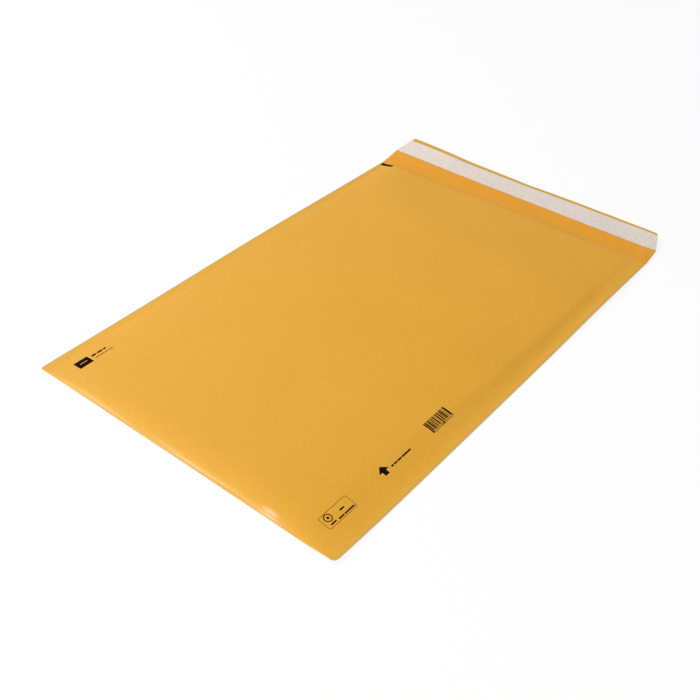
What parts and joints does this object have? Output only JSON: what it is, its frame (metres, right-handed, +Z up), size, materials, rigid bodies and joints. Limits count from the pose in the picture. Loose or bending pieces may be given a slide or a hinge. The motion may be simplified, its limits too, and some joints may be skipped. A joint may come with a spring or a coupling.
{
  "type": "padded envelope",
  "caption": "Flat padded mailing envelope in kraft paper with a bubble lining, an open mouth and an unfolded peel-and-seal flap.",
  "frame": {"origin": "on the floor under the middle of the whole length, halfway between the side edges", "axes": "+Y from the closed fold towards the mouth and flap, +Z up out of the front panel"},
  "size_m": [0.32, 0.508, 0.0164],
  "materials": {
    "kraft_paper": "golden kraft paper with a faint fibre mottle and a soft calendered sheen",
    "bubble_film": "clear to milky polyethylene bubble film",
    "hot_melt_adhesive": "tacky translucent hot-melt band",
    "silicone_paper": "pale release paper with a silky sheen and fine wrinkles",
    "black_ink": "matt black ink printed on the kraft paper"
  },
  "bodies": {
    "root": {"kraft_envelope": "kraft_paper", "bubble_lining": "bubble_film", "adhesive_strip": "hot_melt_adhesive", "release_liner": "silicone_paper"}
  },
  "joints": []
}
